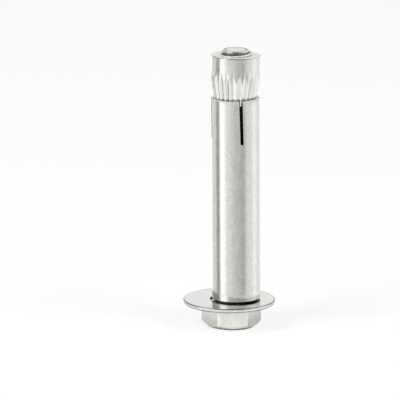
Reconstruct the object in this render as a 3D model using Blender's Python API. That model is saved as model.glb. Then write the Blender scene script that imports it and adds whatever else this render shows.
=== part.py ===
# Sleeve anchor standing on its bolt head: hex bolt, flat washer, slotted expansion sleeve and cone nut.
# The origin is the centre of the head's end face, +Z runs along the bolt to its tip, and the photographed
# side faces -Y. Lengths are written in millimetres and used in metres.

import math

import bmesh
import bpy
from mathutils import Matrix, Vector

mm = 0.001

# Clearances between the pieces
seat_gap = 0.3 * mm
running_gap = 0.2 * mm
cone_gap = 0.2 * mm
thread_gap = 0.1 * mm

# Hex bolt
thread_diameter = 7.9 * mm
head_across_flats = 12.75 * mm
head_height = 5.2 * mm
head_corner_radius = 0.8 * mm
end_face_inset = 0.6 * mm
end_chamfer_angle = math.radians(38)
bearing_ring_height = 0.3 * mm
bearing_ring_inset = 0.5 * mm
under_head_fillet = 0.4 * mm
tip_chamfer = 0.95 * mm
tip_protrusion = 1.28 * mm
head_turn = math.radians(3)

# Flat washer, a little askew on the head
washer_diameter = 22.6 * mm
washer_thickness = 1.1 * mm
washer_hole_play = 0.8 * mm
washer_edge_radius = 0.18 * mm
washer_lean = math.radians(0.7)

# Expansion sleeve, whose bore rests against one side of the shank at the washer
sleeve_play = 1.3 * mm
sleeve_wall = 0.75 * mm
sleeve_length = 50.1 * mm
mouth_edge_radius = 0.45 * mm
foot_edge_radius = 0.2 * mm
sleeve_edge_chamfer = 0.12 * mm
mouth_shift = 0.05 * mm
long_slot_length = 11.2 * mm
short_slot_length = 10.1 * mm
slot_width_at_mouth = 0.93 * mm
slot_width_at_end = 0.8 * mm
slot_lean = math.radians(1.4)
slot_pairs = 2
front_slot_angle = math.radians(-76.5)

# Cone nut
collar_height = 6.1 * mm
cone_half_angle = math.radians(12)
cone_foot_wall = 0.7 * mm
collar_edge_chamfer = 0.25 * mm
bore_mouth_chamfer = 0.12 * mm
rib_count = 24
rib_rise = 2.4 * mm
groove_slope = math.radians(10.5)
groove_angle = math.radians(126)
rib_turn = math.radians(-87.7)

round_steps = 96
arc_steps = 4

# Places that follow from the sizes
thread_radius = thread_diameter / 2
sleeve_bore_radius = thread_radius + sleeve_play
anchor_radius = sleeve_bore_radius + sleeve_wall
washer_hole_radius = thread_radius + washer_hole_play
nut_bore_radius = thread_radius + thread_gap
cone_foot_radius = nut_bore_radius + cone_foot_wall
cone_height = (anchor_radius - cone_foot_radius) / math.tan(cone_half_angle)
bearing_ring_radius = head_across_flats / 2 - bearing_ring_inset

washer_shift = washer_hole_play - running_gap
sleeve_shift = sleeve_play - running_gap
sleeve_lean = math.atan2(sleeve_shift - mouth_shift, sleeve_length)

# The washer's low side clears the head's ring and its high side the sleeve's low side, also when it turns
washer_low_side = (bearing_ring_radius - washer_shift) * math.sin(washer_lean)
washer_high_side = (anchor_radius - sleeve_shift + washer_shift) * math.sin(washer_lean)
washer_bottom_z = head_height + seat_gap + washer_low_side
washer_top_z = washer_bottom_z + washer_thickness
sleeve_low_side_z = washer_top_z + washer_high_side + seat_gap
sleeve_foot_z = sleeve_low_side_z + anchor_radius * math.sin(sleeve_lean)
sleeve_mouth_z = sleeve_foot_z + sleeve_length * math.cos(sleeve_lean)

# The cone stands in the mouth where its radius is one cone_gap less than the sleeve's bore
cone_drop_to_mouth = (sleeve_wall + cone_gap) / math.tan(cone_half_angle)
taper_start_z = sleeve_mouth_z + cone_drop_to_mouth
nut_top_z = taper_start_z + collar_height
tip_z = nut_top_z + tip_protrusion


for old_object in list(bpy.data.objects):
    bpy.data.objects.remove(old_object, do_unlink=True)


def steel(name, colour, roughness):
    material = bpy.data.materials.new(name)
    material.use_nodes = True
    shader = material.node_tree.nodes["Principled BSDF"]
    shader.inputs["Base Color"].default_value = (*colour, 1.0)
    shader.inputs["Metallic"].default_value = 1.0
    shader.inputs["Roughness"].default_value = roughness
    return material


def add_object(name, mesh):
    piece = bpy.data.objects.new(name, mesh)
    bpy.context.collection.objects.link(piece)
    return piece


def mesh_from(bm, name):
    bmesh.ops.recalc_face_normals(bm, faces=bm.faces)
    mesh = bpy.data.meshes.new(name)
    bm.to_mesh(mesh)
    bm.free()
    return mesh


# A corner is (radius, height, rounding). A rounding of zero keeps the corner sharp.
def rounded_outline(corners):
    points = []
    for index, (radius, height, rounding) in enumerate(corners):
        corner = Vector((radius, 0, height))
        if rounding == 0:
            points.append(corner)
            continue
        before = Vector((corners[index - 1][0], 0, corners[index - 1][1])) - corner
        after_corner = corners[(index + 1) % len(corners)]
        after = Vector((after_corner[0], 0, after_corner[1])) - corner
        half_angle = before.angle(after) / 2
        reach = rounding / math.tan(half_angle)
        centre = corner + (before.normalized() + after.normalized()).normalized() * rounding / math.sin(half_angle)
        start = (corner + before.normalized() * reach - centre).normalized()
        end = (corner + after.normalized() * reach - centre).normalized()
        for step in range(arc_steps + 1):
            points.append(centre + start.slerp(end, step / arc_steps) * rounding)
    return points


# A closed outline makes a ring. An open one starts and ends on the axis and makes a solid.
def turned(name, points, closed):
    bm = bmesh.new()
    verts = [bm.verts.new(point) for point in points]
    edges = [bm.edges.new(pair) for pair in zip(verts, verts[1:])]
    if closed:
        edges.append(bm.edges.new((verts[-1], verts[0])))
    bmesh.ops.spin(bm, geom=verts + edges, cent=(0, 0, 0), axis=(0, 0, 1), angle=math.tau,
                   steps=round_steps, use_merge=True)
    bmesh.ops.remove_doubles(bm, verts=bm.verts, dist=0.0001 * mm)
    return add_object(name, mesh_from(bm, name))


# A prism between two outlines with the same number of corners
def prism(name, lower, upper):
    bm = bmesh.new()
    lower_verts = [bm.verts.new(point) for point in lower]
    upper_verts = [bm.verts.new(point) for point in upper]
    lower_face = bm.faces.new(lower_verts)
    upper_face = bm.faces.new(upper_verts)
    bmesh.ops.bridge_loops(bm, edges=lower_face.edges[:] + upper_face.edges[:])
    return add_object(name, mesh_from(bm, name))


# Cuts, joins or intersects a piece with its tools, then removes them
def combine(piece, tools, operation):
    for tool in tools:
        boolean = piece.modifiers.new(tool.name, "BOOLEAN")
        boolean.operation = operation
        boolean.solver = "EXACT"
        boolean.object = tool
    depsgraph = bpy.context.evaluated_depsgraph_get()
    mesh = bpy.data.meshes.new_from_object(piece.evaluated_get(depsgraph))
    mesh.name = piece.name
    piece.modifiers.clear()
    piece.data = mesh
    for tool in tools:
        bpy.data.objects.remove(tool, do_unlink=True)


def finish(piece, material):
    piece.data.materials.clear()
    piece.data.materials.append(material)
    piece.data.shade_smooth()
    piece.data.set_sharp_from_angle(angle=math.radians(28))


# An empty on the bolt's axis, which a moving piece turns about or slides along
def axis_empty(name, height, parent=None):
    empty = bpy.data.objects.new(name, None)
    empty.empty_display_size = anchor_radius
    bpy.context.collection.objects.link(empty)
    empty.parent = parent
    empty.location = (0, 0, height)
    return empty


def hex_head():
    corner_distance = head_across_flats / math.sqrt(3)
    bm = bmesh.new()
    bmesh.ops.create_circle(bm, cap_ends=True, radius=corner_distance, segments=6)
    bottom = bm.faces[:]
    extruded = bmesh.ops.extrude_face_region(bm, geom=bottom)
    top_verts = [item for item in extruded["geom"] if isinstance(item, bmesh.types.BMVert)]
    bmesh.ops.translate(bm, verts=top_verts, vec=(0, 0, head_height - bearing_ring_height))
    upright = [edge for edge in bm.edges if edge.verts[0].co.z != edge.verts[1].co.z]
    corner_cut = head_corner_radius * math.tan(math.radians(30))
    bmesh.ops.bevel(bm, geom=upright, offset=corner_cut, offset_type="OFFSET",
                    segments=arc_steps, profile=0.5, affect="EDGES")
    # The circle starts with a corner at +Y, so a twelfth of a turn brings a flat to the front
    flat_to_front = Matrix.Rotation(math.tau / 12 + head_turn, 3, "Z")
    bmesh.ops.rotate(bm, verts=bm.verts, cent=(0, 0, 0), matrix=flat_to_front)
    return add_object("hex_bolt", mesh_from(bm, "hex_bolt"))


def hex_bolt():
    head = hex_head()
    end_face_radius = head_across_flats / 2 - end_face_inset
    blank_radius = head_across_flats
    chamfer_top = (blank_radius - end_face_radius) * math.tan(end_chamfer_angle)
    blank = turned("chamfer_blank", [
        Vector((0, 0, 0)),
        Vector((end_face_radius, 0, 0)),
        Vector((blank_radius, 0, chamfer_top)),
        Vector((blank_radius, 0, chamfer_top + head_height)),
        Vector((0, 0, chamfer_top + head_height)),
    ], closed=False)
    combine(head, [blank], "INTERSECT")

    shank = turned("shank", rounded_outline([
        (0, head_height / 2, 0),
        (bearing_ring_radius, head_height / 2, 0),
        (bearing_ring_radius, head_height, 0),
        (thread_radius, head_height, under_head_fillet),
        (thread_radius, tip_z - tip_chamfer, 0),
        (thread_radius - tip_chamfer, tip_z, 0),
        (0, tip_z, 0),
    ]), closed=False)
    combine(head, [shank], "UNION")
    finish(head, steel("bolt_steel", (0.62, 0.62, 0.61), 0.24))
    return head


def flat_washer(spin_axis):
    rim_radius = washer_diameter / 2
    washer = turned("flat_washer", rounded_outline([
        (washer_hole_radius, 0, 0),
        (rim_radius, 0, washer_edge_radius),
        (rim_radius, washer_thickness, washer_edge_radius),
        (washer_hole_radius, washer_thickness, washer_edge_radius),
    ]), closed=True)
    washer.parent = spin_axis
    washer.location = (-washer_shift, 0, 0)
    washer.rotation_euler = (0, -washer_lean, 0)
    finish(washer, steel("washer_steel", (0.64, 0.64, 0.63), 0.28))
    return washer


# One cut through the wall: wider at the mouth, where the flaps stand slightly apart, and leaning a little
def slot_cutter(number, length, angle):
    inner = sleeve_bore_radius - sleeve_wall
    outer = anchor_radius + sleeve_wall
    overrun = slot_width_at_mouth
    widening = (slot_width_at_mouth - slot_width_at_end) / length
    sections = []
    for height, width in (
        (sleeve_length - length, slot_width_at_end),
        (sleeve_length + overrun, slot_width_at_mouth + widening * overrun),
    ):
        aside = (sleeve_length - height) * math.tan(slot_lean)
        left = aside - width / 2
        right = aside + width / 2
        sections.append([
            (inner, left, height), (outer, left, height),
            (outer, right, height), (inner, right, height),
        ])
    cutter = prism("slot_%d" % number, *sections)
    cutter.rotation_euler = (0, 0, angle)
    return cutter


def expansion_sleeve(turn_axis):
    sleeve = turned("expansion_sleeve", rounded_outline([
        (sleeve_bore_radius, 0, 0),
        (anchor_radius, 0, foot_edge_radius),
        (anchor_radius, sleeve_length, mouth_edge_radius),
        (sleeve_bore_radius + sleeve_edge_chamfer, sleeve_length, 0),
        (sleeve_bore_radius, sleeve_length - sleeve_edge_chamfer, 0),
    ]), closed=True)
    cutters = []
    for number in range(2 * slot_pairs):
        length = short_slot_length if number % 2 else long_slot_length
        cutters.append(slot_cutter(number, length, front_slot_angle + number * math.pi / slot_pairs))
    combine(sleeve, cutters, "DIFFERENCE")
    sleeve.parent = turn_axis
    sleeve.location = (sleeve_shift, 0, 0)
    sleeve.rotation_euler = (0, -sleeve_lean, 0)
    finish(sleeve, steel("sleeve_steel", (0.66, 0.66, 0.65), 0.22))
    return sleeve


# A V groove whose root line enters the collar above the taper and runs down inside the cone
def groove_cutter(number):
    past_foot = 2 * cone_height + rib_rise
    reach = anchor_radius - nut_bore_radius
    half_width = reach * math.tan(groove_angle / 2)
    sections = []
    for height in (-past_foot, rib_rise):
        sections.append([(0, 0, height), (reach, -half_width, height), (reach, half_width, height)])
    cutter = prism("groove_%d" % number, *sections)
    turn = Matrix.Rotation(rib_turn + (number + 0.5) * math.tau / rib_count, 4, "Z")
    root_top = Matrix.Translation((anchor_radius, 0, rib_rise))
    cutter.matrix_world = turn @ root_top @ Matrix.Rotation(groove_slope, 4, "Y")
    return cutter


def cone_nut(slide_axis):
    nut = turned("cone_nut", [
        Vector((nut_bore_radius, 0, -cone_height)),
        Vector((cone_foot_radius, 0, -cone_height)),
        Vector((anchor_radius, 0, 0)),
        Vector((anchor_radius, 0, collar_height - collar_edge_chamfer)),
        Vector((anchor_radius - collar_edge_chamfer, 0, collar_height)),
        Vector((nut_bore_radius + bore_mouth_chamfer, 0, collar_height)),
        Vector((nut_bore_radius, 0, collar_height - bore_mouth_chamfer)),
    ], closed=True)
    combine(nut, [groove_cutter(number) for number in range(rib_count)], "DIFFERENCE")
    nut.parent = slide_axis
    finish(nut, steel("nut_steel", (0.64, 0.64, 0.62), 0.22))
    return nut


hex_bolt()
flat_washer(axis_empty("washer_axis", washer_bottom_z))
sleeve_axis = axis_empty("sleeve_axis", sleeve_foot_z)
expansion_sleeve(sleeve_axis)
cone_nut(axis_empty("nut_axis", taper_start_z - sleeve_foot_z, sleeve_axis))
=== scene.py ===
# Sleeve anchor standing on its bolt head: hex bolt, flat washer, slotted sleeve and ribbed cone nut.
# All four CAD solids are replaced by finer meshes in the same places. The anchor's lengths are
# written in millimetres, the studio's and the camera's in metres. +Z runs along the bolt to its
# tip and -Y faces the camera.

import math

import bmesh
import bpy
import numpy as np
from mathutils import Matrix, Vector


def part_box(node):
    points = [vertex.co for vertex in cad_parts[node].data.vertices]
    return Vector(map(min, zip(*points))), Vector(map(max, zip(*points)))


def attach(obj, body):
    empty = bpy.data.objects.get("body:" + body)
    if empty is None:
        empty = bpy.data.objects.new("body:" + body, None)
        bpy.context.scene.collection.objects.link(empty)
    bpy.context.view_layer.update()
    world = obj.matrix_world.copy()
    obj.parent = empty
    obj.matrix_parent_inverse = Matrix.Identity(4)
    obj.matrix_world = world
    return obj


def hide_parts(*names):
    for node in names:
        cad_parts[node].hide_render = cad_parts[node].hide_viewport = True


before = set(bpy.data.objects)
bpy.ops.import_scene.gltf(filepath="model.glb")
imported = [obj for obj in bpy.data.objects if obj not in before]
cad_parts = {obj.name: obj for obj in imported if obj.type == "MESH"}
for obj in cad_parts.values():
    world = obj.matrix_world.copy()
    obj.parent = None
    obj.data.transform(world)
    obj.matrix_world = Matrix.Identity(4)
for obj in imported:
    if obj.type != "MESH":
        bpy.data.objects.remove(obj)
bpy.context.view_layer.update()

mm = 0.001
tolerance = 1e-9  # in metres, between points at one height
sharpAngle = math.radians(32)  # steeper edges are shaded crisp
# Each piece has its main finish as number 0 and two more
paintedShadeFinish = 1  # painted shade: dark steel in bores, thread grooves, under the sleeve's foot and in long cuts
edgeFinish = 2  # painted shade on the bolt's end and tip rings and the washer's rim edges; faced steel on the nut's top and the sleeve's mouth and cuts
print("frame loaded:", ", ".join(sorted(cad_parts)))


# Shapes that turn about the bolt's axis

# Rounds each (radius, height, rounding) corner of an outline with a small arc
def roundedOutline(corners, closed=False, arcSteps=5):
    points = []
    for index, (radius, height, rounding) in enumerate(corners):
        isEnd = not closed and index in (0, len(corners) - 1)
        if rounding == 0 or isEnd:
            points.append((radius, height))
            continue
        corner = np.array((radius, height))
        before = np.array(corners[index - 1][:2]) - corner
        after = np.array(corners[(index + 1) % len(corners)][:2]) - corner
        before /= np.linalg.norm(before)
        after /= np.linalg.norm(after)
        halfAngle = math.acos(max(-1, min(1, float(before @ after)))) / 2
        middle = (before + after) / np.linalg.norm(before + after)
        centre = corner + middle * rounding / math.sin(halfAngle)
        start = corner + before * rounding / math.tan(halfAngle) - centre
        end = corner + after * rounding / math.tan(halfAngle) - centre
        firstAngle = math.atan2(start[1], start[0])
        sweep = math.atan2(end[1], end[0]) - firstAngle
        sweep = (sweep + math.pi) % math.tau - math.pi
        for step in range(arcSteps + 1):
            angle = firstAngle + sweep * step / arcSteps
            points.append((centre[0] + rounding * math.cos(angle), centre[1] + rounding * math.sin(angle)))
    return points


# One outline a column. An open outline starts and ends on the axis, a closed one makes a ring.
def turnedMesh(name, angles, outlines, closed):
    columns = np.array(outlines, float)
    if not closed:
        poles = columns[0, 0, 1], columns[0, -1, 1]
        columns = columns[:, 1:-1]
    columnCount, pointCount = columns.shape[:2]
    x = columns[:, :, 0] * np.cos(angles)[:, None]
    y = columns[:, :, 0] * np.sin(angles)[:, None]
    points = np.stack([x, y, columns[:, :, 1]], 2).reshape(-1, 3).tolist()
    faces = []
    lastPoint = pointCount if closed else pointCount - 1
    for column in range(columnCount):
        here = column * pointCount
        there = (column + 1) % columnCount * pointCount
        for point in range(lastPoint):
            after = (point + 1) % pointCount
            faces.append((here + point, there + point, there + after, here + after))
    if not closed:
        bottomPole = len(points)
        topPole = bottomPole + 1
        points += [(0, 0, poles[0]), (0, 0, poles[1])]
        for column in range(columnCount):
            here = column * pointCount
            there = (column + 1) % columnCount * pointCount
            faces.append((bottomPole, there, here))
            faces.append((topPole, here + pointCount - 1, there + pointCount - 1))
    return meshObject(name, points, faces)


def meshObject(name, points, faces):
    mesh = bpy.data.meshes.new(name)
    mesh.from_pydata(points, [], faces)
    bm = bmesh.new()
    bm.from_mesh(mesh)
    bmesh.ops.recalc_face_normals(bm, faces=bm.faces)
    bm.to_mesh(mesh)
    bm.free()
    mesh.shade_smooth()
    mesh.set_sharp_from_angle(angle=sharpAngle)
    piece = bpy.data.objects.new(name, mesh)
    bpy.context.collection.objects.link(piece)
    return piece


# Gives the chosen faces another of the piece's finishes
def markFaces(piece, finishNumber, isChosen):
    for face in piece.data.polygons:
        if isChosen(face.center, face.normal):
            face.material_index = finishNumber


# True where a face looks within 60 degrees of the axis, as a bore's wall does
def facesInwards(centre, normal):
    leastReach = 0.5 * centre.xy.length
    return normal.xy.dot(centre.xy) < -leastReach


# The lower of two values, with the crossing rounded over the given blend
def softLower(first, second, blend):
    share = np.clip(0.5 + 0.5 * (second - first) / blend, 0, 1)
    return second + (first - second) * share - blend * share * (1 - share)


# The bolt's and the nut's thread lie on this one right-hand helix
thread = {
    "pitch": 1.25 * mm,
    "majorRadius": 3.95 * mm,
    "minorRadius": 3.24 * mm,
    "rootWidth": 0.25,  # in pitches
    "crestWidth": 0.125,
    "frontGrooveHeight": 68.5 * mm,  # where the middle of a groove faces the camera
    "clearance": 0.1 * mm,  # from the bolt's thread to the nut's
    "rowHeight": 0.0781 * mm,  # of the meshes, about 16 rows a pitch
}


def threadRadius(height, angle):
    turns = (height - thread["frontGrooveHeight"]) / thread["pitch"] - (angle + math.pi / 2) / math.tau
    fromGroove = np.abs(turns - np.round(turns))
    rootEdge = thread["rootWidth"] / 2
    crestEdge = 0.5 - thread["crestWidth"] / 2
    rise = np.clip((fromGroove - rootEdge) / (crestEdge - rootEdge), 0, 1)
    return thread["minorRadius"] + (thread["majorRadius"] - thread["minorRadius"]) * rise


# Hex bolt

bolt = {
    "acrossFlats": 12.75 * mm,
    "headHeight": 5.2 * mm,
    "cornerRadius": 0.35 * mm,
    "headTurn": math.radians(3),
    "endFaceInset": 0.6 * mm,
    "endChamferAngle": math.radians(38),
    "shadeRingHeight": 0.35 * mm,  # of the painted-shade ring round the end face
    "endFaceTilt": -0.99,  # what looks further down is the end face itself
    "ringHeight": 0.3 * mm,
    "ringInset": 0.5 * mm,
    "ringFootRounding": 0.06 * mm,
    "ringEdgeRounding": 0.08 * mm,
    "edgeRounding": 0.12 * mm,
    "fillet": 0.4 * mm,
    "shankRadius": 3.9 * mm,
    "threadFoot": 38 * mm,
    "threadLead": 0.5 * mm,  # from the plain shank's last point to the thread's foot
    "threadRunOut": 2.5 * mm,
    "tipChamfer": 0.95 * mm,
    "chamferBlend": 0.08 * mm,  # rounds the crests over into the tip's chamfer
    "tipBreak": (0.06 * mm, 0.04 * mm),  # width and height of the small edge round the tip's flat
    "tipShadeWidth": 0.6 * mm,  # width of the painted-shade ring round the tip's flat
    "tipTilt": 0.95,  # what looks further up is the tip's flat
    "grooveShadeDepth": 0.3 * mm,  # painted shade in the tip's thread grooves lies this far below the crests
    "grooveShadeTop": 0.1 * mm,  # and ends this far below the tip's flat
    "flatSteps": 16,
    "cornerSteps": 6,
}


# Angle and distance of each column of the head's outline, with its corners rounded
def hexColumns():
    apothem = bolt["acrossFlats"] / 2
    rounding = bolt["cornerRadius"]
    halfFlat = (apothem - rounding) * math.tan(math.radians(30))
    arcCentre = (apothem - rounding) / math.cos(math.radians(30))
    columns = []
    for side in range(6):
        facing = -math.pi / 2 + bolt["headTurn"] + side * math.tau / 6
        for step in range(bolt["flatSteps"]):
            along = -halfFlat + 2 * halfFlat * step / bolt["flatSteps"]
            columns.append((facing + math.atan2(along, apothem), math.hypot(along, apothem)))
        for step in range(bolt["cornerSteps"]):
            turn = math.radians(-30 + 60 * step / bolt["cornerSteps"])
            reach = arcCentre + rounding * math.cos(turn)
            aside = rounding * math.sin(turn)
            columns.append((facing + math.tau / 12 + math.atan2(aside, reach), math.hypot(reach, aside)))
    return columns


def makeBolt():
    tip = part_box("hex_bolt")[1].z
    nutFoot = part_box("cone_nut")[0].z
    headTop = bolt["headHeight"] - bolt["ringHeight"]
    endRadius = bolt["acrossFlats"] / 2 - bolt["endFaceInset"]
    ringRadius = bolt["acrossFlats"] / 2 - bolt["ringInset"]
    tipRadius = thread["majorRadius"] - bolt["tipChamfer"]
    flatRadius = tipRadius - bolt["tipShadeWidth"]
    grooveShadeRadius = thread["majorRadius"] - bolt["grooveShadeDepth"]
    shadeRingHeight = bolt["shadeRingHeight"]
    shadeRingRadius = endRadius + shadeRingHeight / math.tan(bolt["endChamferAngle"])
    small = bolt["edgeRounding"]
    breakWidth, breakHeight = bolt["tipBreak"]
    rowCount = round((tip - bolt["threadFoot"]) / thread["rowHeight"])
    rows = np.linspace(bolt["threadFoot"], tip - breakHeight, rowCount)
    depthShare = np.clip((rows - bolt["threadFoot"]) / bolt["threadRunOut"], 0, 1)
    chamferLine = tipRadius + (tip - rows)
    angles = []
    outlines = []
    for angle, sideRadius in hexColumns():
        chamferTop = (sideRadius - endRadius) * math.tan(bolt["endChamferAngle"])
        head = roundedOutline([
            (0, 0, 0),
            (endRadius, 0, small),
            (shadeRingRadius, shadeRingHeight, 0),
            (sideRadius, chamferTop, small),
            (sideRadius, headTop, small),
            (ringRadius, headTop, bolt["ringFootRounding"]),
            (ringRadius, bolt["headHeight"], bolt["ringEdgeRounding"]),
            (bolt["shankRadius"], bolt["headHeight"], bolt["fillet"]),
            (bolt["shankRadius"], bolt["threadFoot"] - bolt["threadLead"], 0),
        ])
        threaded = threadRadius(rows, angle)
        threaded = bolt["shankRadius"] + (threaded - bolt["shankRadius"]) * depthShare
        threaded = softLower(threaded, chamferLine, bolt["chamferBlend"])
        tipFlat = [(tipRadius - breakWidth, tip), (flatRadius, tip), (0, tip)]
        angles.append(angle)
        outlines.append(head + list(zip(threaded, rows)) + tipFlat)
    piece = turnedMesh("hex_bolt_detailed", np.array(angles), outlines, closed=False)

    # Painted shade on the shank inside the sleeve
    def liesInSleeve(centre, normal):
        return headTop < centre.z < nutFoot

    # Painted shade deep in the thread at the tip, clear of its crests and of the chamfer
    def liesInGroove(centre, normal):
        chamferRadius = tipRadius + tip - centre.z
        inGroove = centre.xy.length < min(grooveShadeRadius, chamferRadius - bolt["chamferBlend"])
        return inGroove and nutFoot < centre.z < tip - bolt["grooveShadeTop"]

    # Painted shade on the ring round the end face
    def isShadedEndRing(centre, normal):
        return centre.z < shadeRingHeight and normal.z > bolt["endFaceTilt"]

    # Painted shade on the ring round the tip's flat
    def isShadedTipRing(centre, normal):
        looksUp = normal.z > bolt["tipTilt"] and centre.z > nutFoot
        return looksUp and centre.xy.length > flatRadius

    markFaces(piece, paintedShadeFinish, liesInSleeve)
    markFaces(piece, paintedShadeFinish, liesInGroove)
    markFaces(piece, edgeFinish, isShadedEndRing)
    markFaces(piece, edgeFinish, isShadedTipRing)
    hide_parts("hex_bolt")
    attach(piece, "bolt")
    return piece


hexBolt = makeBolt()
print("hex bolt made,", len(hexBolt.data.polygons), "faces")


# Flat washer, stamped from above so that its upper face rolls down at the rim, a little askew

washer = {
    "rimRadius": 11.3 * mm,
    "holeRadius": 4.65 * mm,
    "thickness": 1.1 * mm,
    "shift": 0.6 * mm,  # to the left
    "bottomHeight": 5.5645 * mm,  # at the middle of the hole
    "lean": math.radians(0.7),  # right side up
    "rollWidth": 0.6 * mm,  # at the rim, and half as much at the hole
    "rollDrop": 0.05 * mm,
    "rollRounding": 2 * mm,
    "upperRounding": 0.28 * mm,
    "lowerRounding": 0.5 * mm,
    "rimShadeTilts": (0.25, 0.98),  # how far up or down the rim's edges with painted shade look
    "holeShadeWidth": 0.12 * mm,  # painted shade reaches this far round the hole
    "columnCount": 180,
}


def makeWasher():
    rim = washer["rimRadius"]
    top = washer["thickness"]
    upper = washer["upperRounding"]
    lower = washer["lowerRounding"]
    ringFace = (rim + washer["holeRadius"]) / 2
    rollStart = rim - washer["rollWidth"]
    holeRoll = washer["holeRadius"] + washer["rollWidth"] / 2
    outline = roundedOutline([
        (washer["holeRadius"], 0, lower),
        (ringFace, 0, 0),
        (rim, 0, lower),
        (rim, top - washer["rollDrop"], upper),
        (rollStart, top, washer["rollRounding"]),
        (ringFace, top, 0),
        (holeRoll, top, 0),
        (washer["holeRadius"], top - washer["rollDrop"] / 2, upper),
    ], closed=True)
    angles = np.linspace(0, math.tau, washer["columnCount"], endpoint=False)
    piece = turnedMesh("flat_washer_detailed", angles, [outline] * len(angles), closed=True)
    holeShadeRadius = washer["holeRadius"] + washer["holeShadeWidth"]
    edgeRadius = rim - upper
    leastTilt, mostTilt = washer["rimShadeTilts"]

    # Painted shade on the hole's wall
    def isShadedHoleWall(centre, normal):
        return centre.xy.length < holeShadeRadius

    # Painted shade on the rim's rounded edges
    def isShadedRimEdge(centre, normal):
        return centre.xy.length > edgeRadius and leastTilt < abs(normal.z) < mostTilt

    markFaces(piece, paintedShadeFinish, isShadedHoleWall)
    markFaces(piece, edgeFinish, isShadedRimEdge)
    stand = Matrix.Translation((-washer["shift"], 0, washer["bottomHeight"]))
    piece.data.transform(stand @ Matrix.Rotation(-washer["lean"], 4, "Y"))
    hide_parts("flat_washer")
    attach(piece, "washer")
    return piece


flatWasher = makeWasher()
print("flat washer made,", len(flatWasher.data.polygons), "faces")


# Expansion sleeve, leaning a little on the bolt, with two long and two short saw cuts

sleeve = {
    "outerRadius": 6.0 * mm,
    "boreRadius": 5.25 * mm,
    "length": 50.1 * mm,
    "footShift": 1.1 * mm,  # to the right, as the mouth's
    "mouthShift": 0.05 * mm,
    "mouthRounding": 0.25 * mm,
    "mouthFlare": 0.05 * mm,
    "mouthTilt": 0.35,  # what looks further up is the mouth's cut face
    "footRounding": 0.12 * mm,
    "footDrop": 0.1 * mm,
    "footTilt": -0.9,  # what looks further down is the foot
    "innerRounding": 0.05 * mm,
    "brightMouth": 10.0 * mm,  # how far the outer finish goes into the bore, above the bore's painted shade
    "facedBore": 2.0 * mm,  # and how far down the mouth is faced
    "slotLengths": (10.85 * mm, 9.75 * mm),
    "slotWidthAtMouth": 0.93 * mm,
    "slotWidthAtEnd": 0.8 * mm,
    "slotLean": math.radians(1.4),
    "firstSlotAngle": math.radians(-76.5),
    "slotCount": 4,
    "slotEdgeBevel": 0.04 * mm,
    "slotEdgeSteps": 2,
    "slotEdgeAngle": math.radians(50),
    "cutWallTilts": (0.3, 0.4),  # how far a cut's wall may look up or down, and in or out
    "unshadedCutHeight": 2.0 * mm,  # of the long cuts at the mouth, kept free of painted shade
    "longCutReach": 3 * mm,  # only the long cuts lie this far along the first cut's direction
    "columnsBetweenSlots": 36,
    "wallRows": 22,
    "slotRows": 5,
    "rowGap": 2 * mm,  # from the slots' ends and the foot to the nearest even row
    "mouthRowGap": 1 * mm,
}


def sleeveOutline(length, slotEnds):
    outer = sleeve["outerRadius"]
    inner = sleeve["boreRadius"]
    gap = sleeve["rowGap"]
    rows = list(np.linspace(gap, min(slotEnds) - gap, sleeve["wallRows"]))
    rows += sorted(slotEnds)
    rows += list(np.linspace(max(slotEnds) + gap, length - sleeve["mouthRowGap"], sleeve["slotRows"]))
    corners = [(outer, -sleeve["footDrop"], sleeve["footRounding"])]
    corners += [(outer, row, 0) for row in rows]
    corners.append((outer, length, sleeve["mouthRounding"]))
    corners.append((inner + sleeve["mouthFlare"], length, sleeve["innerRounding"]))
    corners.append((inner, length - sleeve["mouthFlare"], sleeve["innerRounding"]))
    corners += [(inner, row, 0) for row in reversed(rows)]
    corners.append((inner, -sleeve["footDrop"], sleeve["innerRounding"]))
    return roundedOutline(corners, closed=True)


# Angle of one side of a saw cut, from the cut's middle at the mouth. The sides are flat and lean a little.
def slotSideAngle(side, radius, height, slotEnd):
    share = max(0, (height - slotEnd) / (sleeve["length"] - slotEnd))
    width = sleeve["slotWidthAtEnd"] + (sleeve["slotWidthAtMouth"] - sleeve["slotWidthAtEnd"]) * share
    aside = (sleeve["length"] - max(height, slotEnd)) * math.tan(sleeve["slotLean"])
    return math.asin((aside + side * width / 2) / radius)


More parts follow.
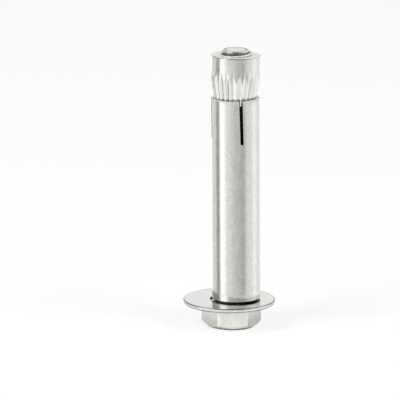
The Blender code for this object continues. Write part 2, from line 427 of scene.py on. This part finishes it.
# The wall goes round in four quarters, each from one cut's side to the next. Between two quarters
# the columns are joined below the cut's end, and above it their sides are closed as flat walls.
def makeSleeve():
    length = sleeve["length"]
    slotCount = sleeve["slotCount"]
    slotEnds = [length - sleeve["slotLengths"][number % 2] for number in range(slotCount)]
    outline = sleeveOutline(length, sorted(set(slotEnds)))
    quarter = math.tau / slotCount
    between = sleeve["columnsBetweenSlots"]
    perQuarter = between + 1
    columnCount = perQuarter * slotCount
    points = []
    for number in range(slotCount):
        centre = sleeve["firstSlotAngle"] + number * quarter
        nextEnd = slotEnds[(number + 1) % slotCount]
        for column in range(perQuarter):
            for radius, height in outline:
                first = centre + slotSideAngle(1, radius, height, slotEnds[number])
                last = centre + quarter + slotSideAngle(-1, radius, height, nextEnd)
                angle = first + (last - first) * column / between
                points.append((radius * math.cos(angle), radius * math.sin(angle), height))
    pointCount = len(outline)
    faces = []
    for column in range(columnCount):
        here = column * pointCount
        there = (column + 1) % columnCount * pointCount
        beforeSlot = column % perQuarter == perQuarter - 1
        slotFoot = slotEnds[(column // perQuarter + 1) % slotCount] - tolerance
        cutPoints = []
        for point in range(pointCount):
            after = (point + 1) % pointCount
            if beforeSlot and outline[point][1] >= slotFoot and outline[after][1] >= slotFoot:
                cutPoints.append(point)
                lastCut = after
                continue
            faces.append((here + point, there + point, there + after, here + after))
        if beforeSlot:
            cutPoints.append(lastCut)
            faces.append([here + point for point in cutPoints])
            faces.append([there + point for point in reversed(cutPoints)])
            faces.append((here + cutPoints[0], there + cutPoints[0], there + lastCut, here + lastCut))
    piece = meshObject("expansion_sleeve_detailed", points, faces)
    firstCut = Vector((math.cos(sleeve["firstSlotAngle"]), math.sin(sleeve["firstSlotAngle"])))
    mostUpDown, mostInOut = sleeve["cutWallTilts"]

    # Painted shade: dark steel on the bore below the mouth
    def isShadedBoreWall(centre, normal):
        return facesInwards(centre, normal) and centre.z < length - sleeve["brightMouth"]

    # Painted shade under the foot
    def isShadedFoot(centre, normal):
        return normal.z < sleeve["footTilt"]

    def isMouth(centre, normal):
        return normal.z > sleeve["mouthTilt"]

    def isFacedBore(centre, normal):
        return facesInwards(centre, normal) and centre.z > length - sleeve["facedBore"]

    def isCutWall(centre, normal):
        inOrOut = abs(normal.xy.dot(centre.xy))
        return abs(normal.z) < mostUpDown and inOrOut < mostInOut * centre.xy.length

    # Painted shade on the long cuts' walls below the mouth
    def isShadedCutWall(centre, normal):
        inLongCut = abs(centre.xy.dot(firstCut)) > sleeve["longCutReach"]
        return isCutWall(centre, normal) and inLongCut and centre.z < length - sleeve["unshadedCutHeight"]

    markFaces(piece, paintedShadeFinish, isShadedBoreWall)
    markFaces(piece, paintedShadeFinish, isShadedFoot)
    markFaces(piece, edgeFinish, isMouth)
    markFaces(piece, edgeFinish, isFacedBore)
    markFaces(piece, edgeFinish, isCutWall)
    markFaces(piece, paintedShadeFinish, isShadedCutWall)
    lean = math.atan2(sleeve["footShift"] - sleeve["mouthShift"], length)
    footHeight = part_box("expansion_sleeve")[0].z + sleeve["outerRadius"] * math.sin(lean)
    stand = Matrix.Translation((sleeve["footShift"], 0, footHeight))
    piece.data.transform(stand @ Matrix.Rotation(-lean, 4, "Y"))
    bevel = piece.modifiers.new("saw_cut_edges", "BEVEL")
    bevel.width = sleeve["slotEdgeBevel"]
    bevel.segments = sleeve["slotEdgeSteps"]
    bevel.limit_method = "ANGLE"
    bevel.angle_limit = sleeve["slotEdgeAngle"]
    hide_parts("expansion_sleeve")
    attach(piece, "sleeve")
    return piece


expansionSleeve = makeSleeve()
print("expansion sleeve made,", len(expansionSleeve.data.polygons), "faces")


# Cone nut: plain collar above a taper with rolled V grooves, threaded bore

nut = {
    "collarRadius": 6.0 * mm,
    "collarHeight": 6.1 * mm,
    "edgeChamfer": 0.25 * mm,
    "edgeRounding": 0.1 * mm,
    "footRadius": 4.97 * mm,
    "footBreak": 0.06 * mm,  # the small chamfer round the foot
    "taperBlend": 0.1 * mm,  # rounds the taper over into the collar
    "threadStart": (0.04 * mm, 0.06 * mm),  # width and depth of the bore's edge at the top
    "countersink": 0.25 * mm,  # how much less than the full radius the bore's foot opens to
    "countersinkBlend": 0.05 * mm,
    "boreFootBreak": 0.04 * mm,
    "unshadedBore": 0.3 * mm,  # how far down the bore has no painted shade
    "topDepth": 0.01 * mm,  # faces no deeper than this are the faced top
    "ribCount": 24,
    "ribTurn": math.radians(-87.7),
    "grooveRise": 2.3 * mm,
    "grooveSlope": math.radians(8.7),
    "grooveAngle": math.radians(126),
    "crestBlend": 0.05 * mm,
    "grooveTopBlend": 0.16 * mm,
    "rootRounding": 0.012,  # in radians
    "columnsPerRib": 12,
    "rowHeight": 0.14 * mm,
    "rowsAboveGrooves": 0.6 * mm,
}


def nutRadius(height, angle, taperStart, foot):
    collar = nut["collarRadius"]
    taperSlope = (collar - nut["footRadius"]) / (taperStart - foot)
    taper = collar - (taperStart - height) * taperSlope
    envelope = softLower(np.full_like(height, collar), taper, nut["taperBlend"])
    ribStep = math.tau / nut["ribCount"]
    grooves = (angle - nut["ribTurn"]) / ribStep - 0.5  # a groove lies half a step beside its rib
    aside = (grooves - round(grooves)) * ribStep
    rootRadius = collar - (taperStart + nut["grooveRise"] - height) * math.tan(nut["grooveSlope"])
    flank = math.tan(nut["grooveAngle"] / 2)
    leaning = math.hypot(math.sin(aside), nut["rootRounding"]) - nut["rootRounding"] / 2
    groove = rootRadius * flank / (flank * math.cos(aside) - leaning)
    towardsTop = np.clip((height - taperStart) / nut["grooveRise"], 0, 1)
    return softLower(envelope, groove, nut["crestBlend"] + nut["grooveTopBlend"] * towardsTop)


def makeNut():
    low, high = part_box("cone_nut")
    foot, top = low.z, high.z
    taperStart = top - nut["collarHeight"]
    collar = nut["collarRadius"]
    chamfer = nut["edgeChamfer"]
    footBreak = nut["footBreak"]
    boreFootBreak = nut["boreFootBreak"]
    startWidth, startDepth = nut["threadStart"]
    boreRadius = thread["majorRadius"] + thread["clearance"]
    grooveTop = taperStart + nut["grooveRise"] + nut["rowsAboveGrooves"]
    outerRowCount = round((grooveTop - foot) / nut["rowHeight"])
    outerRows = np.linspace(foot + footBreak, grooveTop, outerRowCount)
    boreRowCount = round((top - foot) / thread["rowHeight"])
    boreRows = np.linspace(top - startDepth, foot + boreFootBreak, boreRowCount)
    footLine = boreRadius - nut["countersink"] + (foot - boreRows)
    columnCount = nut["ribCount"] * nut["columnsPerRib"]
    angles = np.arange(columnCount) * math.tau / columnCount + nut["ribTurn"]
    # The collar's edge, without the two ends that only give its roundings their directions
    edge = roundedOutline([
        (collar, grooveTop, 0),
        (collar, top - chamfer, nut["edgeRounding"]),
        (collar - chamfer, top, nut["edgeRounding"]),
        (boreRadius, top, 0),
    ])[1:-1]
    outlines = []
    for angle in angles:
        outer = nutRadius(outerRows, angle, taperStart, foot)
        bore = threadRadius(boreRows, angle) + thread["clearance"]
        bore = -softLower(-bore, -footLine, nut["countersinkBlend"])
        outline = [(outer[0] - footBreak, foot)]
        outline += list(zip(outer, outerRows))
        outline += edge
        outline.append((bore[0] + startWidth, top))
        outline += list(zip(bore, boreRows))
        outline.append((bore[-1] + boreFootBreak, foot))
        outlines.append(outline)
    piece = turnedMesh("cone_nut_detailed", angles, outlines, closed=True)

    # Painted shade on the bore below its top
    def isShadedNutBore(centre, normal):
        return centre.xy.length < boreRadius and centre.z < top - nut["unshadedBore"]

    def isTop(centre, normal):
        return centre.z > top - nut["topDepth"]

    markFaces(piece, paintedShadeFinish, isShadedNutBore)
    markFaces(piece, edgeFinish, isTop)
    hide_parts("cone_nut")
    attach(piece, "nut")
    return piece


coneNut = makeNut()
print("cone nut made,", len(coneNut.data.polygons), "faces")


# Shader nodes, which both the finishes and the studio use

def addNode(tree, kind, x, y, **settings):
    node = tree.nodes.new(kind)
    node.location = (x, y)
    for name, value in settings.items():
        setattr(node, name, value)
    return node


# Sets a socket to a number, or feeds it from another socket
def feed(tree, socket, value):
    if isinstance(value, (int, float)):
        socket.default_value = value
    else:
        tree.links.new(value, socket)


def mathNode(tree, operation, x, y, *values):
    node = addNode(tree, "ShaderNodeMath", x, y, operation=operation)
    for socket, value in zip(node.inputs, values):
        feed(tree, socket, value)
    return node.outputs[0]


# Rises from 0 to 1 as the value goes from the first limit to the second
def riseNode(tree, value, limits, x, y, **settings):
    node = addNode(tree, "ShaderNodeMapRange", x, y, **settings)
    node.inputs["From Min"].default_value = limits[0]
    node.inputs["From Max"].default_value = limits[1]
    feed(tree, node.inputs["Value"], value)
    return node.outputs[0]


# Steel finishes. One shared group gives the grain, mottling, speckle, scratches, worn edges with a painted
# highlight and painted shade in grooves of the steel, each in the amount that a finish asks for.

steelDetail = {
    "middle": 0.5,  # a noise's middle, and the tone halfway from dark steel to light
    "grainDetail": 4,
    "grainRoughness": 0.65,
    "mottleDetail": 3,
    "mottleDistortion": 0.4,
    "scratchTurns": (0.45, -0.7),  # radians, one for each set of scratches
    "scratchTilt": 0.6,  # share of that turn
    "scratchTwist": 0.3,
    "scratchScale": (5200, 5200, 240),
    "scratchDetail": 1,
    "scratchLimits": (0.69, 0.78),  # noise at which a scratch starts and is full
    "wearAndHighlightLimits": (0.505, 0.56),  # pointiness, which is 0.5 on a flat face and more on an edge, where wear and a painted highlight go
    "grooveShadeLimits": (0.495, 0.42),  # and less in a groove, where painted shade goes
    "speckleScale": 2300,
    "speckleDetail": 2,
    "scratchTone": 0.35,
    "scratchDepth": 0.8,
    "mottleHeight": 0.6,
}


def steelSurfaceGroup():
    tree = bpy.data.node_groups.new("steelSurface", "ShaderNodeTree")
    inputKinds = [
        ("Light Steel", "NodeSocketColor"),
        ("Dark Steel", "NodeSocketColor"),
        ("Grain Scale", "NodeSocketVector"),
        ("Grain Amount", "NodeSocketFloat"),
        ("Mottle Scale", "NodeSocketFloat"),
        ("Mottle Amount", "NodeSocketFloat"),
        ("Scratch Amount", "NodeSocketFloat"),
        ("Edge Wear And Highlight", "NodeSocketFloat"),
        ("Groove Shade", "NodeSocketFloat"),
        ("Speckle Amount", "NodeSocketFloat"),
        ("Smooth", "NodeSocketFloat"),
        ("Rough", "NodeSocketFloat"),
    ]
    outputKinds = [
        ("Colour", "NodeSocketColor"),
        ("Roughness", "NodeSocketFloat"),
        ("Height", "NodeSocketFloat"),
    ]
    for name, kind in inputKinds:
        tree.interface.new_socket(name=name, in_out="INPUT", socket_type=kind)
    for name, kind in outputKinds:
        tree.interface.new_socket(name=name, in_out="OUTPUT", socket_type=kind)
    values = addNode(tree, "NodeGroupInput", -1200, 0)
    result = addNode(tree, "NodeGroupOutput", 900, 0)
    place = addNode(tree, "ShaderNodeTexCoord", -1200, 400).outputs["Object"]
    middle = steelDetail["middle"]

    def combine(operation, first, second, x, y):
        return mathNode(tree, operation, x, y, first, second)

    def noise(vector, scale, detail, x, y):
        node = addNode(tree, "ShaderNodeTexNoise", x, y)
        node.inputs["Detail"].default_value = detail
        feed(tree, node.inputs["Vector"], vector)
        feed(tree, node.inputs["Scale"], scale)
        return node

    # How far a noise is from its middle, in the amount that the finish asks for
    def swing(node, amountName, y):
        fromMiddle = combine("SUBTRACT", node.outputs["Fac"], middle, -600, y)
        return combine("MULTIPLY", fromMiddle, values.outputs[amountName], -400, y)

    # Grain left by drawing, rolling or turning: noise stretched along the worked direction
    grainPlace = addNode(tree, "ShaderNodeVectorMath", -1000, 400, operation="MULTIPLY")
    feed(tree, grainPlace.inputs[0], place)
    feed(tree, grainPlace.inputs[1], values.outputs["Grain Scale"])
    grain = noise(grainPlace.outputs[0], 1, steelDetail["grainDetail"], -800, 400)
    grain.inputs["Roughness"].default_value = steelDetail["grainRoughness"]
    grainValue = swing(grain, "Grain Amount", 400)

    # Soft cloudy patches where the steel has dulled
    mottle = noise(place, values.outputs["Mottle Scale"], steelDetail["mottleDetail"], -800, 150)
    mottle.inputs["Distortion"].default_value = steelDetail["mottleDistortion"]
    mottleValue = swing(mottle, "Mottle Amount", 150)

    # Speckle as fine as the steel's own crystals
    speckle = noise(place, steelDetail["speckleScale"], steelDetail["speckleDetail"], -800, 650)
    speckleValue = swing(speckle, "Speckle Amount", 650)

    # Fine handling scratches, thin lines in two slanting directions
    scratches = []
    for number, turn in enumerate(steelDetail["scratchTurns"]):
        y = -150 - number * 250
        turned = addNode(tree, "ShaderNodeMapping", -1000, y)
        tilt = turn * steelDetail["scratchTilt"]
        turned.inputs["Rotation"].default_value = (turn, tilt, steelDetail["scratchTwist"])
        turned.inputs["Scale"].default_value = steelDetail["scratchScale"]
        feed(tree, turned.inputs["Vector"], place)
        scratchLines = noise(turned.outputs[0], 1, steelDetail["scratchDetail"], -800, y)
        scratches.append(riseNode(tree, scratchLines.outputs["Fac"], steelDetail["scratchLimits"], -600, y))
    scratched = combine("MAXIMUM", *scratches, -400, -250)
    scratchValue = combine("MULTIPLY", scratched, values.outputs["Scratch Amount"], -200, -250)

    # Edges rubbed bright by handling, partly a painted highlight, and painted shade in thread roots and
    # inner corners
    pointiness = addNode(tree, "ShaderNodeNewGeometry", -800, -650).outputs["Pointiness"]
    wearAndHighlight = riseNode(tree, pointiness, steelDetail["wearAndHighlightLimits"], -600, -650)
    wearAndHighlightValue = combine("MULTIPLY", wearAndHighlight, values.outputs["Edge Wear And Highlight"], -400, -650)
    grooveShade = riseNode(tree, pointiness, steelDetail["grooveShadeLimits"], -600, -900)
    grooveShadeValue = combine("MULTIPLY", grooveShade, values.outputs["Groove Shade"], -400, -900)

    clouds = combine("ADD", grainValue, mottleValue, -200, 300)
    tone = combine("ADD", clouds, middle, 0, 300)
    tone = combine("ADD", tone, speckleValue, 50, 450)
    tone = combine("SUBTRACT", tone, grooveShadeValue, 100, 450)
    tone = combine("ADD", tone, wearAndHighlightValue, 150, 300)
    scratchTone = combine("MULTIPLY", scratchValue, steelDetail["scratchTone"], 0, -100)
    tone = combine("SUBTRACT", tone, scratchTone, 300, 300)
    colour = addNode(tree, "ShaderNodeMix", 500, 300, data_type="RGBA", clamp_factor=False)
    feed(tree, colour.inputs["Factor"], tone)
    feed(tree, colour.inputs["A"], values.outputs["Dark Steel"])
    feed(tree, colour.inputs["B"], values.outputs["Light Steel"])
    feed(tree, result.inputs["Colour"], colour.outputs["Result"])

    dullness = combine("ADD", mottleValue, grainValue, -200, 50)
    dullness = combine("SUBTRACT", dullness, wearAndHighlightValue, 0, 50)
    dullness = combine("ADD", dullness, scratchValue, 150, 50)
    dullness = combine("ADD", dullness, middle, 300, 50)
    roughness = addNode(tree, "ShaderNodeMapRange", 500, 50)
    feed(tree, roughness.inputs["Value"], dullness)
    feed(tree, roughness.inputs["To Min"], values.outputs["Smooth"])
    feed(tree, roughness.inputs["To Max"], values.outputs["Rough"])
    feed(tree, result.inputs["Roughness"], roughness.outputs[0])

    mottleHeight = combine("MULTIPLY", mottleValue, steelDetail["mottleHeight"], 0, -300)
    scratchDepth = combine("MULTIPLY", scratchValue, steelDetail["scratchDepth"], 150, -450)
    height = combine("ADD", grainValue, mottleHeight, 150, -300)
    height = combine("SUBTRACT", height, scratchDepth, 300, -300)
    feed(tree, result.inputs["Height"], height)
    return tree


steelSurface = steelSurfaceGroup()

# Each finish has a value for every input of the group, and the depth of its bump
finishes = {
    "boltSteel": {
        "Light Steel": (0.83, 0.825, 0.79, 1),
        "Dark Steel": (0.60, 0.595, 0.565, 1),
        "Grain Scale": (1400, 1400, 900),
        "Grain Amount": 0.6,
        "Mottle Scale": 420,
        "Mottle Amount": 0.9,
        "Scratch Amount": 0.5,
        "Edge Wear And Highlight": 0.65,
        "Groove Shade": 1.6,
        "Speckle Amount": 0.5,
        "Smooth": 0.16,
        "Rough": 0.34,
        "bumpDepth": 0.006 * mm,
    },
    # Edges that the forge and the punch left dull
    # Painted shade: dark steel on the bolt's end chamfer and tip ring and on the washer's rounded rim edges
    "edgeShadeSteel": {
        "Light Steel": (0.33, 0.325, 0.315, 1),
        "Dark Steel": (0.18, 0.175, 0.17, 1),
        "Grain Scale": (1400, 1400, 1400),
        "Grain Amount": 0.8,
        "Mottle Scale": 600,
        "Mottle Amount": 1.0,
        "Scratch Amount": 0.3,
        "Edge Wear And Highlight": 0.3,
        "Groove Shade": 0.5,
        "Speckle Amount": 0.6,
        "Smooth": 0.22,
        "Rough": 0.4,
        "bumpDepth": 0.005 * mm,
    },
    # The nut's top and the sleeve's mouth, cut square
    "facedSteel": {
        "Light Steel": (0.92, 0.92, 0.90, 1),
        "Dark Steel": (0.72, 0.72, 0.70, 1),
        "Grain Scale": (1600, 1600, 900),
        "Grain Amount": 0.6,
        "Mottle Scale": 600,
        "Mottle Amount": 0.6,
        "Scratch Amount": 0.4,
        "Edge Wear And Highlight": 0.2,
        "Groove Shade": 0.3,
        "Speckle Amount": 0.5,
        "Smooth": 0.58,
        "Rough": 0.74,
        "bumpDepth": 0.004 * mm,
    },
    "washerSteel": {
        "Light Steel": (0.80, 0.80, 0.79, 1),
        "Dark Steel": (0.54, 0.54, 0.53, 1),
        "Grain Scale": (500, 2600, 900),
        "Grain Amount": 0.7,
        "Mottle Scale": 500,
        "Mottle Amount": 0.8,
        "Scratch Amount": 0.15,
        "Edge Wear And Highlight": 0.2,
        "Groove Shade": 0.3,
        "Speckle Amount": 0.6,
        "Smooth": 0.08,
        "Rough": 0.24,
        "bumpDepth": 0.003 * mm,
    },
    "sleeveSteel": {
        "Light Steel": (0.725, 0.719, 0.686, 1),
        "Dark Steel": (0.525, 0.52, 0.494, 1),
        "Grain Scale": (2400, 2400, 260),
        "Grain Amount": 0.8,
        "Mottle Scale": 650,
        "Mottle Amount": 0.7,
        "Scratch Amount": 0.6,
        "Edge Wear And Highlight": 0.8,
        "Groove Shade": 0.4,
        "Speckle Amount": 1.1,
        "Smooth": 0.12,
        "Rough": 0.27,
        "bumpDepth": 0.0035 * mm,
    },
    "nutSteel": {
        "Light Steel": (0.74, 0.738, 0.715, 1),
        "Dark Steel": (0.525, 0.523, 0.505, 1),
        "Grain Scale": (2400, 2400, 400),
        "Grain Amount": 0.9,
        "Mottle Scale": 500,
        "Mottle Amount": 0.7,
        "Scratch Amount": 0.4,
        "Edge Wear And Highlight": 0.5,
        "Groove Shade": 0.7,
        "Speckle Amount": 0.7,
        "Smooth": 0.12,
        "Rough": 0.26,
        "bumpDepth": 0.004 * mm,
    },
    # Painted shade: dark, rough steel on bore walls, the shank inside the sleeve, the tip's thread grooves,
    # the sleeve's foot and the long cuts' walls
    "paintedShadeSteel": {
        "Light Steel": (0.34, 0.33, 0.31, 1),
        "Dark Steel": (0.14, 0.135, 0.125, 1),
        "Grain Scale": (1200, 1200, 1200),
        "Grain Amount": 1.0,
        "Mottle Scale": 500,
        "Mottle Amount": 1.0,
        "Scratch Amount": 0.2,
        "Edge Wear And Highlight": 0.2,
        "Groove Shade": 0.5,
        "Speckle Amount": 0.5,
        "Smooth": 0.35,
        "Rough": 0.6,
        "bumpDepth": 0.01 * mm,
    },
}


def steelMaterial(name):
    finish = finishes[name]
    material = bpy.data.materials.new(name)
    material.use_nodes = True
    tree = material.node_tree
    shader = tree.nodes["Principled BSDF"]
    shader.inputs["Metallic"].default_value = 1
    surface = addNode(tree, "ShaderNodeGroup", -500, 0, node_tree=steelSurface)
    for socket in surface.inputs:
        socket.default_value = finish[socket.name]
    bump = addNode(tree, "ShaderNodeBump", -250, -200)
    bump.inputs["Strength"].default_value = 1
    bump.inputs["Distance"].default_value = finish["bumpDepth"]
    feed(tree, bump.inputs["Height"], surface.outputs["Height"])
    feed(tree, shader.inputs["Base Color"], surface.outputs["Colour"])
    feed(tree, shader.inputs["Roughness"], surface.outputs["Roughness"])
    feed(tree, shader.inputs["Normal"], bump.outputs["Normal"])
    return material


# A piece's main finish, its painted-shade finish and its edge finish, in the order of their numbers
paintedShadeSteel = steelMaterial("paintedShadeSteel")
edgeShadeSteel = steelMaterial("edgeShadeSteel")
facedSteel = steelMaterial("facedSteel")
pieceFinishes = (
    (hexBolt, "boltSteel", edgeShadeSteel),
    (flatWasher, "washerSteel", edgeShadeSteel),
    (expansionSleeve, "sleeveSteel", facedSteel),
    (coneNut, "nutSteel", facedSteel),
)
for piece, finishName, edgeSteel in pieceFinishes:
    for material in (steelMaterial(finishName), paintedShadeSteel, edgeSteel):
        piece.data.materials.append(material)
print("steel finishes made")


# Studio: a pale floor under soft light. Round the anchor stand soft light panels with darker gaps
# between them. They reach below the floor's level, where the polished steel shows them through the
# floor, while steel close to the floor shows the floor itself.

studio = {
    "floorSize": 24,  # metres
    "floorColour": (0.8, 0.8, 0.8, 1),
    "floorRoughness": 0.9,
    "seenWhitening": 0.82,  # share of plain white in the floor as the camera sees it
    "mirroredWhitening": 0.15,  # and as polished steel close to it shows it
    "floorFade": (29 * mm, 33 * mm),  # how far a reflection still shows the floor
    "fullLevel": 2.4,  # what 1 on the ramps stands for
    "floorShare": 0.25,  # how much of the panels' light falls on the floor, the lamps give the rest
    # (azimuth in degrees from the camera, positive to the right, level)
    "lowPanels": (
        (-180, 1.45),
        (-162, 1.45), (-146, 1.25),
        (-136, 1.0), (-108, 1.0),
        (-97, 0.42), (-84, 0.4),
        (-75, 1.85), (-60, 1.75),
        (-40, 1.12),
        (10, 0.74),
        (36, 0.58),
        (60, 1.08), (80, 1.12),
        (96, 1.42),
        (130, 1.1), (165, 1.15), (180, 1.45),
    ),
    "horizonPanels": (
        (-180, 0.45), (-125, 0.45),
        (-105, 0.9), (105, 0.9),
        (125, 0.45), (180, 0.45),
    ),
    "highPanels": (
        (-180, 1.05), (-150, 1.0),
        (-140, 0.45), (-88, 0.4),
        (-78, 2.2), (-50, 2.2),
        (-38, 1.1), (-15, 0.8), (11, 0.62), (36, 0.65),
        (60, 1.0), (80, 1.3),
        (96, 1.3),
        (125, 1.0), (180, 1.05),
    ),
    "topPanels": (
        (-180, 1.2), (-135, 1.1),
        (-116, 0.5), (-104, 0.5),
        (-96, 2.0), (-88, 2.0),
        (-78, 0.25), (80, 0.25),
        (100, 0.8), (140, 1.1), (180, 1.2),
    ),
    "deepLevel": 1.35,
    "underLevel": 0.9,
    # Where each ring takes over from the one below it: heights from -1, straight down, to 1, straight up
    "deepStart": (-0.85, -0.72),
    "lowStart": (-0.55, -0.32),
    "horizonStart": (-0.14, -0.06),
    "highStart": (0.1, 0.17),
    "topStart": (0.5, 0.75),
    "lampSize": 0.6,
    "lamps": (  # place in metres, power in watts
        ((-0.75, -0.55, 1.0), 17.0),
        ((0.8, -0.48, 0.9), 11.5),
    ),
}


def makeFloor():
    half = studio["floorSize"] / 2
    corners = [(-half, -half, 0), (half, -half, 0), (half, half, 0), (-half, half, 0)]
    floor = meshObject("floor", corners, [(0, 1, 2, 3)])
    material = bpy.data.materials.new("paleFloor")
    material.use_nodes = True
    tree = material.node_tree
    shader = tree.nodes["Principled BSDF"]
    shader.inputs["Base Color"].default_value = studio["floorColour"]
    shader.inputs["Roughness"].default_value = studio["floorRoughness"]
    shader.inputs["Specular IOR Level"].default_value = 0
    path = addNode(tree, "ShaderNodeLightPath", -700, 300)
    cameraRay = path.outputs["Is Camera Ray"]
    glossyRay = path.outputs["Is Glossy Ray"]

    # Whitened as the camera sees it, and a little in reflections
    seen = mathNode(tree, "MAXIMUM", -450, 300, cameraRay, path.outputs["Is Transmission Ray"])
    seenShare = mathNode(tree, "MULTIPLY", -250, 400, seen, studio["seenWhitening"])
    mirroredShare = mathNode(tree, "MULTIPLY", -250, 200, glossyRay, studio["mirroredWhitening"])
    white = addNode(tree, "ShaderNodeEmission", -50, -200)
    whitened = addNode(tree, "ShaderNodeMixShader", 200, 200)
    feed(tree, whitened.inputs["Fac"], mathNode(tree, "MAXIMUM", -50, 300, seenShare, mirroredShare))
    feed(tree, whitened.inputs[1], shader.outputs[0])
    feed(tree, whitened.inputs[2], white.outputs[0])

    # Clear to reflections from further away, which show the panels below it
    far = riseNode(tree, path.outputs["Ray Length"], studio["floorFade"], -450, 0,
                   interpolation_type="SMOOTHSTEP")
    clear = addNode(tree, "ShaderNodeBsdfTransparent", 200, -200)
    final = addNode(tree, "ShaderNodeMixShader", 450, 100)
    feed(tree, final.inputs["Fac"], mathNode(tree, "MULTIPLY", -250, 0, glossyRay, far))
    feed(tree, final.inputs[1], whitened.outputs[0])
    feed(tree, final.inputs[2], clear.outputs[0])
    feed(tree, tree.nodes["Material Output"].inputs["Surface"], final.outputs[0])
    floor.data.materials.append(material)


def panelRamp(tree, panels, share, x, y):
    ramp = addNode(tree, "ShaderNodeValToRGB", x, y)
    ramp.color_ramp.interpolation = "EASE"
    elements = ramp.color_ramp.elements
    while len(elements) > 1:
        elements.remove(elements[-1])
    for number, (degrees, level) in enumerate(panels):
        position = degrees / 360 + 0.5
        element = elements[0] if number == 0 else elements.new(position)
        element.position = position
        tint = level / studio["fullLevel"]
        element.color = (tint, tint, tint, 1)
    feed(tree, ramp.inputs["Fac"], share)
    return ramp.outputs["Color"]


# Goes from one level to another as the direction's height passes the two given ones
def blendByHeight(tree, height, heights, below, above, x, y):
    blend = addNode(tree, "ShaderNodeMix", x + 200, y)
    rise = riseNode(tree, height, heights, x, y - 250, interpolation_type="SMOOTHSTEP")
    feed(tree, blend.inputs["Factor"], rise)
    feed(tree, blend.inputs["A"], below)
    feed(tree, blend.inputs["B"], above)
    return blend.outputs["Result"]


def makeWorld():
    world = bpy.data.worlds.new("studio")
    world.use_nodes = True
    world.cycles.sampling_method = "NONE"
    tree = world.node_tree
    background = tree.nodes["Background"]
    place = addNode(tree, "ShaderNodeTexCoord", -1400, 0)
    axes = addNode(tree, "ShaderNodeSeparateXYZ", -1200, 0)
    feed(tree, axes.inputs[0], place.outputs["Generated"])
    height = axes.outputs["Z"]

    # Azimuth from the camera as a share of a turn, 0.5 towards the camera
    towards = mathNode(tree, "MULTIPLY", -1000, 100, axes.outputs["Y"], -1)
    azimuth = mathNode(tree, "ARCTAN2", -800, 100, axes.outputs["X"], towards)
    share = mathNode(tree, "MULTIPLY_ADD", -600, 100, azimuth, 1 / math.tau, 0.5)

    full = studio["fullLevel"]
    under = studio["underLevel"] / full
    deep = studio["deepLevel"] / full
    level = blendByHeight(tree, height, studio["deepStart"], under, deep, -100, 700)
    for number, ring in enumerate(("low", "horizon", "high", "top")):
        panels = panelRamp(tree, studio[ring + "Panels"], share, -400, 600 - number * 300)
        start = studio[ring + "Start"]
        level = blendByHeight(tree, height, start, level, panels, 150 + number * 250, 600 - number * 100)
    level = mathNode(tree, "MULTIPLY", 1200, 100, level, full)

    # The panels light the floor less than they light the steel
    path = addNode(tree, "ShaderNodeLightPath", 1000, -300)
    onFloor = mathNode(tree, "MULTIPLY_ADD", 1200, -300, path.outputs["Is Diffuse Ray"],
                       studio["floorShare"] - 1, 1)
    feed(tree, background.inputs["Strength"], mathNode(tree, "MULTIPLY", 1400, 0, level, onFloor))
    background.inputs["Color"].default_value = (1, 1, 1, 1)
    bpy.context.scene.world = world


def makeLamps():
    for place, power in studio["lamps"]:
        lampData = bpy.data.lights.new("soft_box", "AREA")
        lampData.shape = "SQUARE"
        lampData.size = studio["lampSize"]
        lampData.energy = power
        lamp = bpy.data.objects.new("soft_box", lampData)
        bpy.context.collection.objects.link(lamp)
        lamp.location = place
        lamp.rotation_euler = (-lamp.location).to_track_quat("-Z", "Y").to_euler()
        lamp.visible_glossy = False


makeFloor()
makeWorld()
makeLamps()
print("studio made")


# Camera at the photograph's angle, with a long lens

view = {
    "place": (0, -1.2, 0.305),
    "lens": 451.8,  # millimetres, as the sensor
    "sensorWidth": 36,
    "clipping": (0.05, 60),
    "turn": math.radians(0.39),
    "tilt": math.radians(90 - 12.847),  # looks down by 12.847 degrees
    "roll": math.radians(0.887),
}

cameraData = bpy.data.cameras.new("camera")
cameraData.sensor_width = view["sensorWidth"]
cameraData.lens = view["lens"]
cameraData.clip_start, cameraData.clip_end = view["clipping"]
camera = bpy.data.objects.new("camera", cameraData)
bpy.context.collection.objects.link(camera)
aim = Matrix.Rotation(view["turn"], 4, "Z") @ Matrix.Rotation(view["tilt"], 4, "X")
camera.matrix_world = Matrix.Translation(view["place"]) @ aim @ Matrix.Rotation(view["roll"], 4, "Z")
bpy.context.scene.camera = camera
bpy.context.scene.view_settings.view_transform = "Standard"
print("camera made")
